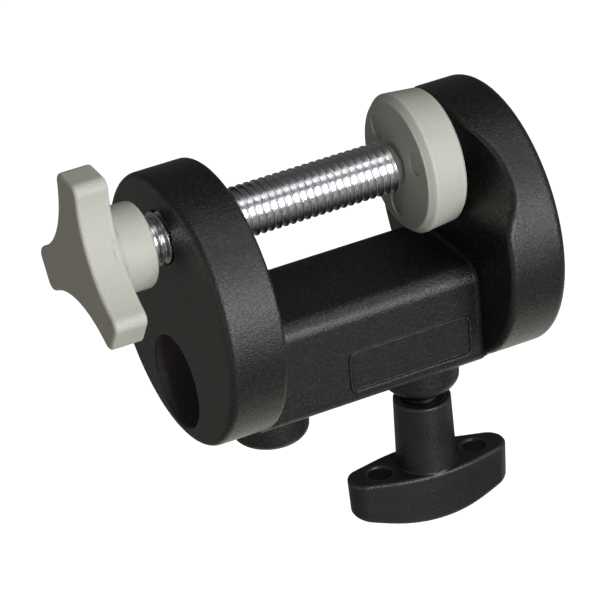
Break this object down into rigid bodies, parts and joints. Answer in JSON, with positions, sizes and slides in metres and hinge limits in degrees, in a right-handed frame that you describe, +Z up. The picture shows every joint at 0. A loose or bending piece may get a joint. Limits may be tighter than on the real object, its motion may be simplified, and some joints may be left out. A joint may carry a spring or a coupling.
{
  "type": "mini tube clamp",
  "caption": "Small two-disc tube clamp: a screw with a lobed knob presses a round pad towards a V jaw, and a T-handle screw locks a 16 mm spigot in the socket.",
  "frame": {"origin": "centre of the flange disc's outer face, midway between the clamp screw and the spigot socket", "axes": "+X along the clamp screw and the socket towards the jaw, +Z up from the socket to the clamp screw, +Y across"},
  "size_m": [0.0862, 0.0522, 0.093],
  "materials": {
    "clamp_body": "satin black powder coat over an aluminium die casting",
    "clamp_screw": "bright zinc plated steel",
    "clamp_knob": "warm grey fine-textured moulding",
    "pad_shell": "warm grey fine-textured moulding",
    "pad_cover": "warm grey fine-textured moulding",
    "thrust_disc": "hardened ground steel",
    "pad_ring": "round spring wire",
    "lock_stud": "blackened threaded steel",
    "lock_shoe": "turned brass",
    "lock_handle": "black glass-filled moulding",
    "catch_pin": "turned brass",
    "catch_plug": "blackened steel",
    "catch_spring": "spring wire"
  },
  "bodies": {
    "frame": {"clamp_body": "clamp_body", "catch_plug": "catch_plug", "catch_spring": "catch_spring"},
    "catch": {"catch_pin": "catch_pin"},
    "pad_carriage": {"thrust_disc": "thrust_disc"},
    "spindle": {"clamp_screw": "clamp_screw", "clamp_knob": "clamp_knob"},
    "pad_ring_body": {"pad_ring": "pad_ring"},
    "pad": {"pad_shell": "pad_shell", "pad_cover": "pad_cover"},
    "lock_slide": {"lock_shoe": "lock_shoe"},
    "lock_screw": {"lock_stud": "lock_stud", "lock_handle": "lock_handle"}
  },
  "joints": [
    {"name": "screw_travel", "type": "slide", "parent": "frame", "child": "pad_carriage", "axis": [1, 0, 0], "range_m": [-0.036, 0]},
    {"name": "screw_turn", "type": "hinge", "parent": "pad_carriage", "child": "spindle", "pos_m": [0, 0, 0.0154], "axis": [1, 0, 0], "range_deg": [-8650, 5]},
    {"name": "pad_spin", "type": "hinge", "parent": "pad_carriage", "child": "pad_ring_body", "pos_m": [0.0506, 0, 0.015], "axis": [1, 0, 0], "continuous": true},
    {"name": "pad_tilt", "type": "hinge", "parent": "pad_ring_body", "child": "pad", "pos_m": [0.0524, 0, 0.015], "axis": [0, 1, 0], "range_deg": [-3, 3]},
    {"name": "lock_travel", "type": "slide", "parent": "frame", "child": "lock_slide", "axis": [0, 0, 1], "range_m": [-0.00625, 0.00187]},
    {"name": "lock_turn", "type": "hinge", "parent": "lock_slide", "child": "lock_screw", "pos_m": [0.0501, 0, -0.04], "axis": [0, 0, 1], "range_deg": [-1810, 550]},
    {"name": "catch_press", "type": "slide", "parent": "frame", "child": "catch", "axis": [0, 0, -1], "range_m": [0, 0.0015], "stiffness_N_per_m": 800, "springref_m": -0.001, "deforming": ["catch_spring"]}
  ],
  "couplings": [
    {"joint": "screw_turn", "follows": "screw_travel", "rad_per_m": 4188.8},
    {"joint": "lock_turn", "follows": "lock_travel", "rad_per_m": 5026.6}
  ]
}
